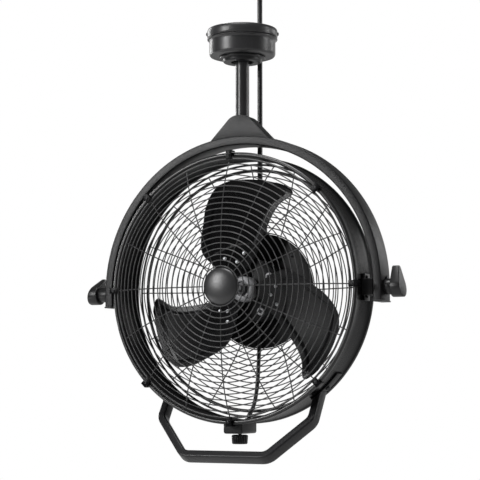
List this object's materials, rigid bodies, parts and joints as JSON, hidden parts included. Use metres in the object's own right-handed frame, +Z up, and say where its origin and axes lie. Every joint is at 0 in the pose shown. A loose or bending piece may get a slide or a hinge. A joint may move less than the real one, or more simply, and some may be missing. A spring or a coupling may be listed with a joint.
{
  "type": "orbital_ceiling_fan",
  "caption": "Orbital ceiling fan: a black drum fan head tilting in a semicircular yoke on a short downrod that a geared motor in the canopy turns",
  "frame": {"origin": "centre of the mounting plate's top face, where the fan meets the ceiling box; +Z up, the fan hangs below", "axes": "+X to the right as seen from the front, along the tilt axis; +Y to the rear, so the fan blows towards -Y; +Z up, along the orbit axis"},
  "size_m": [0.6636, 0.2248, 0.9625],
  "materials": {
    "black_coat": "semi-gloss black powder coat",
    "black_wire": "semi-gloss black coated wire",
    "blade_coat": "satin black coated aluminium",
    "black_plastic": "moulded black plastic",
    "satin_badge": "satin domed disc, bare",
    "zinc": "bright zinc plate",
    "steel": "machined steel",
    "cord_jacket": "black rubber cord jacket",
    "nylon": "natural nylon"
  },
  "bodies": {
    "ceiling_mount": {"mounting_plate": "zinc", "canopy_rim": "black_coat", "canopy_cup": "black_coat", "canopy_collar": "black_coat", "hanger_bracket": "zinc", "bearing_race_lower": "steel", "thrust_washer": "nylon", "gear_motor": "steel", "terminal_block": "nylon", "cord_ceiling_grip": "black_plastic"},
    "orbit": {"bearing_race_upper": "steel", "orbit_gear": "nylon", "downrod": "black_coat", "rod_pin": "zinc", "gusset": "black_coat", "yoke_arch": "black_coat", "yoke_end_cap_left": "black_plastic", "yoke_end_cap_right": "black_plastic", "cord_drop": "cord_jacket"},
    "pinion": {"orbit_pinion": "nylon"},
    "head": {"drum": "black_coat", "front_guard": "black_wire", "rear_guard": "black_wire", "guard_badge": "satin_badge", "guard_clip_1": "black_coat", "guard_clip_2": "black_coat", "guard_clip_3": "black_coat", "guard_clip_4": "black_coat", "guard_clip_5": "black_coat", "guard_clip_6": "black_coat", "guard_clip_7": "black_coat", "guard_clip_8": "black_coat", "motor_plate": "black_coat", "motor_housing": "black_coat", "motor_end_bell": "black_coat", "motor_cover": "black_plastic", "cord_gland": "black_plastic", "cord_tail": "cord_jacket", "motor_lead": "cord_jacket", "lead_grommet": "black_plastic", "pivot_block_left": "black_plastic", "pivot_block_right": "black_plastic", "handle_bracket_left": "black_coat", "handle_bracket_right": "black_coat", "handle": "black_coat", "switch_box": "black_plastic", "rotary_switch": "nylon"},
    "rotor": {"rotor_shaft": "steel", "rotor_core": "steel", "blade_spider": "blade_coat", "blade_1": "blade_coat", "blade_2": "blade_coat", "blade_3": "blade_coat"},
    "lever_left": {"clamp_lever_left": "black_plastic"},
    "lever_right": {"clamp_lever_right": "black_plastic"},
    "speed_control": {"speed_knob": "black_plastic"}
  },
  "joints": [
    {"name": "orbit_turn", "type": "hinge", "parent": "ceiling_mount", "child": "orbit", "pos_m": [0, 0, 0], "axis": [0, 0, 1], "range_deg": [-150, 150], "deforming": ["cord_drop"]},
    {"name": "pinion_turn", "type": "hinge", "parent": "ceiling_mount", "child": "pinion", "pos_m": [0.0408, 0, 0], "axis": [0, 0, 1], "range_deg": [-460, 460]},
    {"name": "head_tilt", "type": "hinge", "parent": "orbit", "child": "head", "pos_m": [0, 0, -0.52], "axis": [1, 0, 0], "range_deg": [-8, 90], "deforming": ["cord_tail"]},
    {"name": "rotor_spin", "type": "hinge", "parent": "head", "child": "rotor", "pos_m": [0, 0, -0.516], "axis": [0, 1, 0], "continuous": true},
    {"name": "lever_left_turn", "type": "hinge", "parent": "orbit", "child": "lever_left", "pos_m": [-0.3, 0, -0.52], "axis": [1, 0, 0], "range_deg": [-180, 180]},
    {"name": "lever_right_turn", "type": "hinge", "parent": "orbit", "child": "lever_right", "pos_m": [0.3, 0, -0.52], "axis": [1, 0, 0], "range_deg": [-180, 180]},
    {"name": "speed_turn", "type": "hinge", "parent": "head", "child": "speed_control", "pos_m": [0, -0.0114, -0.806], "axis": [0, 0, 1], "range_deg": [0, 270]}
  ],
  "couplings": [
    {"joint": "pinion_turn", "follows": "orbit_turn", "ratio": -3}
  ]
}
